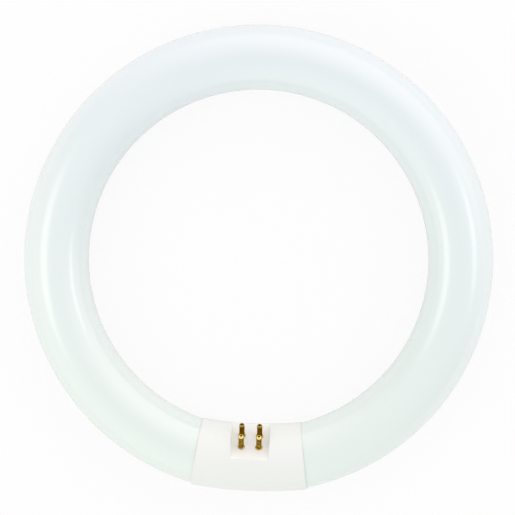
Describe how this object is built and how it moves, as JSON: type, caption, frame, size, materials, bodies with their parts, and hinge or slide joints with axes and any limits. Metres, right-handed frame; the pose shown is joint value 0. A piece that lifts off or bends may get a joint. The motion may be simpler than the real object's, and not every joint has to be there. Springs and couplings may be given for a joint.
{
  "type": "circular fluorescent tube",
  "caption": "Ring-shaped fluorescent lamp: a white-coated glass tube bent to a circle, its ends joined by a plastic base with angled brass contact pins in a recess.",
  "frame": {"origin": "centre of the ring, in the plane of the tube's centreline", "axes": "+Z out of the ring's face on the side that the pins lean to, -Y towards the base, +X along the base"},
  "size_m": [0.21, 0.2093, 0.0318],
  "materials": {
    "coated_glass": "clear glass over a white phosphor coat, glossy and opaque",
    "base_plastic": "moulded off-white plastic, satin",
    "pin_brass": "drawn brass, bright with a little tarnish",
    "lead_wire": "plain drawn wire"
  },
  "bodies": {
    "root": {"glass_tube": "coated_glass", "base_front_shell": "base_plastic", "base_back_shell": "base_plastic", "contact_pin_left_inner": "pin_brass", "lead_wire_left_inner": "lead_wire", "contact_pin_left_outer": "pin_brass", "lead_wire_left_outer": "lead_wire", "contact_pin_right_inner": "pin_brass", "lead_wire_right_inner": "lead_wire", "contact_pin_right_outer": "pin_brass", "lead_wire_right_outer": "lead_wire"}
  },
  "joints": []
}
